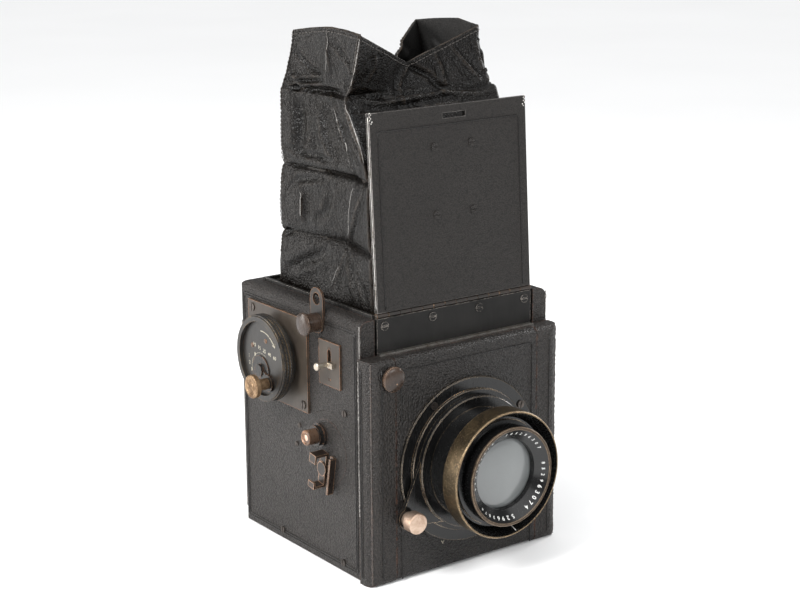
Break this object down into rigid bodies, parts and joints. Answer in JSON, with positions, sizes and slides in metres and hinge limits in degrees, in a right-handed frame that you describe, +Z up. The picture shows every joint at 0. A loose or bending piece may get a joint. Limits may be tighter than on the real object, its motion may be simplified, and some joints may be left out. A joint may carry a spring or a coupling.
{
  "type": "reflex plate camera",
  "caption": "Box-form single-lens reflex plate camera: leather-covered body, rising lens panel with lever focusing, winding drum at the side, folding lid and tall leather viewing hood.",
  "frame": {"origin": "The tripod bush's axis at the underside, midway between the front face and the rear wall.", "axes": "+Z is up, the lens looks along -Y and +X is to the right of someone facing the lens."},
  "size_m": [0.1431, 0.1584, 0.2584],
  "materials": {
    "body_leather": "pebbled leather over wood, worn at the edges",
    "hood_leather": "thin creased hood leather",
    "black_enamel": "black enamel worn to brass at the edges",
    "bronzed_brass": "dark bronzed brass",
    "brass": "worn brass",
    "steel": "plain steel",
    "dark_screws": "blackened slotted screws",
    "lens_glass": "polished glass",
    "ground_glass": "ground glass",
    "mirror_silver": "front-silvered mirror",
    "curtain_cloth": "rubberised black cloth"
  },
  "bodies": {
    "body": {"body_shell": "body_leather", "base_board": "body_leather", "tripod_bush": "brass", "front_frame": "body_leather", "ledge_strip": "steel", "hinge_board": "body_leather", "hinge_board_screws": "dark_screws", "hinge_leaf_fixed": "brass", "hinge_pin": "steel", "hood_tray": "black_enamel", "focusing_screen": "ground_glass", "screen_frame": "black_enamel", "leather_hood": "hood_leather", "shutter_plate": "black_enamel", "side_screws": "dark_screws", "strap_studs": "brass", "strap_lugs": "black_enamel", "selector_plate": "bronzed_brass", "release_boss": "black_enamel", "lever_guard": "bronzed_brass", "mirror_pivot": "steel", "shutter_curtain": "curtain_cloth", "back_frame": "black_enamel", "back_screws": "dark_screws"},
    "lid": {"lid": "body_leather", "lid_screws": "dark_screws", "hinge_leaf_lid": "brass"},
    "drum": {"winding_drum": "black_enamel", "winding_shaft": "steel", "dial_face": "black_enamel"},
    "speed_arm": {"speed_arm": "black_enamel"},
    "speed_knob": {"speed_knob": "brass"},
    "selector": {"selector_pin": "brass"},
    "release_plunger": {"release_plunger": "bronzed_brass"},
    "release_lever": {"release_lever": "bronzed_brass"},
    "lens_panel": {"lens_panel": "body_leather", "lens_flange": "black_enamel", "flange_screws": "dark_screws"},
    "lock_knob": {"panel_lock_knob": "brass"},
    "focus_ring": {"focus_ring": "black_enamel", "focus_knob": "brass"},
    "lens_barrel": {"lens_barrel": "black_enamel", "front_cell": "black_enamel", "front_glass": "lens_glass", "rear_cell": "black_enamel", "rear_glass": "lens_glass"},
    "aperture_ring": {"aperture_ring": "bronzed_brass"},
    "mirror": {"mirror_frame": "black_enamel", "mirror_glass": "mirror_silver"},
    "upper_roller": {"upper_roller": "steel"},
    "lower_roller": {"lower_roller": "steel"},
    "plate_holder": {"plate_holder": "black_enamel"},
    "dark_slide": {"dark_slide": "black_enamel"},
    "iris_blade_1": {"iris_blade_1": "steel"},
    "iris_blade_2": {"iris_blade_2": "steel"},
    "iris_blade_3": {"iris_blade_3": "steel"},
    "iris_blade_4": {"iris_blade_4": "steel"},
    "iris_blade_5": {"iris_blade_5": "steel"},
    "iris_blade_6": {"iris_blade_6": "steel"}
  },
  "joints": [
    {"name": "lid_fold", "type": "hinge", "parent": "body", "child": "lid", "pos_m": [0, -0.0472, 0.1294], "axis": [-1, 0, 0], "range_deg": [0, 86.6], "deforming": ["leather_hood"]},
    {"name": "drum_wind", "type": "hinge", "parent": "body", "child": "drum", "pos_m": [0, 0.02125, 0.097], "axis": [-1, 0, 0], "range_deg": [0, 330]},
    {"name": "arm_turn", "type": "hinge", "parent": "drum", "child": "speed_arm", "pos_m": [0, 0.02275, 0.0905], "axis": [-1, 0, 0], "range_deg": [-20, 60]},
    {"name": "knob_pull", "type": "slide", "parent": "speed_arm", "child": "speed_knob", "axis": [-1, 0, 0], "range_m": [0, 0.0015]},
    {"name": "selector_slide", "type": "slide", "parent": "body", "child": "selector", "axis": [0, 0, 1], "range_m": [-0.001, 0.005]},
    {"name": "release_push", "type": "slide", "parent": "body", "child": "release_plunger", "axis": [1, 0, 0], "range_m": [0, 0.003], "stiffness_N_per_m": 300},
    {"name": "release_lever_turn", "type": "hinge", "parent": "body", "child": "release_lever", "pos_m": [0, -0.01835, 0.0495], "axis": [-1, 0, 0], "range_deg": [-8, 8]},
    {"name": "front_rise", "type": "slide", "parent": "body", "child": "lens_panel", "axis": [0, 0, 1], "range_m": [0, 0.012]},
    {"name": "lock_turn", "type": "hinge", "parent": "body", "child": "lock_knob", "pos_m": [-0.0452, 0, 0.1019], "axis": [0, -1, 0], "range_deg": [0, 180]},
    {"name": "focus_turn", "type": "hinge", "parent": "lens_panel", "child": "focus_ring", "pos_m": [0, 0, 0.0535], "axis": [0, -1, 0], "range_deg": [0, 100]},
    {"name": "barrel_slide", "type": "slide", "parent": "lens_panel", "child": "lens_barrel", "axis": [0, -1, 0], "range_m": [0, 0.0078]},
    {"name": "iris_turn", "type": "hinge", "parent": "lens_barrel", "child": "aperture_ring", "pos_m": [0, 0, 0.0535], "axis": [0, -1, 0], "range_deg": [0, 70]},
    {"name": "iris_blade_1_turn", "type": "hinge", "parent": "lens_barrel", "child": "iris_blade_1", "pos_m": [0.02, 0, 0.0535], "axis": [0, -1, 0], "range_deg": [0, 36]},
    {"name": "iris_blade_2_turn", "type": "hinge", "parent": "lens_barrel", "child": "iris_blade_2", "pos_m": [0.01, 0, 0.07082], "axis": [0, -1, 0], "range_deg": [0, 36]},
    {"name": "iris_blade_3_turn", "type": "hinge", "parent": "lens_barrel", "child": "iris_blade_3", "pos_m": [-0.01, 0, 0.07082], "axis": [0, -1, 0], "range_deg": [0, 36]},
    {"name": "iris_blade_4_turn", "type": "hinge", "parent": "lens_barrel", "child": "iris_blade_4", "pos_m": [-0.02, 0, 0.0535], "axis": [0, -1, 0], "range_deg": [0, 36]},
    {"name": "iris_blade_5_turn", "type": "hinge", "parent": "lens_barrel", "child": "iris_blade_5", "pos_m": [-0.01, 0, 0.03618], "axis": [0, -1, 0], "range_deg": [0, 36]},
    {"name": "iris_blade_6_turn", "type": "hinge", "parent": "lens_barrel", "child": "iris_blade_6", "pos_m": [0.01, 0, 0.03618], "axis": [0, -1, 0], "range_deg": [0, 36]},
    {"name": "mirror_swing", "type": "hinge", "parent": "body", "child": "mirror", "pos_m": [0, 0.038, 0.1], "axis": [-1, 0, 0], "range_deg": [0, 45]},
    {"name": "upper_roller_spin", "type": "hinge", "parent": "body", "child": "upper_roller", "pos_m": [0, 0.0464, 0.0992], "axis": [-1, 0, 0], "range_deg": [0, 335]},
    {"name": "lower_roller_spin", "type": "hinge", "parent": "body", "child": "lower_roller", "pos_m": [0, 0.0464, 0.0098], "axis": [-1, 0, 0], "range_deg": [0, 335]},
    {"name": "holder_slide", "type": "slide", "parent": "body", "child": "plate_holder", "axis": [0, 0, 1], "range_m": [0, 0.1]},
    {"name": "dark_slide_pull", "type": "slide", "parent": "plate_holder", "child": "dark_slide", "axis": [0, 0, 1], "range_m": [0, 0.095]}
  ],
  "couplings": [
    {"joint": "focus_turn", "follows": "barrel_slide", "rad_per_m": 222.22},
    {"joint": "iris_blade_1_turn", "follows": "iris_turn", "ratio": 0.5},
    {"joint": "iris_blade_2_turn", "follows": "iris_turn", "ratio": 0.5},
    {"joint": "iris_blade_3_turn", "follows": "iris_turn", "ratio": 0.5},
    {"joint": "iris_blade_4_turn", "follows": "iris_turn", "ratio": 0.5},
    {"joint": "iris_blade_5_turn", "follows": "iris_turn", "ratio": 0.5},
    {"joint": "iris_blade_6_turn", "follows": "iris_turn", "ratio": 0.5},
    {"joint": "upper_roller_spin", "follows": "drum_wind", "ratio": 1},
    {"joint": "lower_roller_spin", "follows": "drum_wind", "ratio": 1}
  ]
}
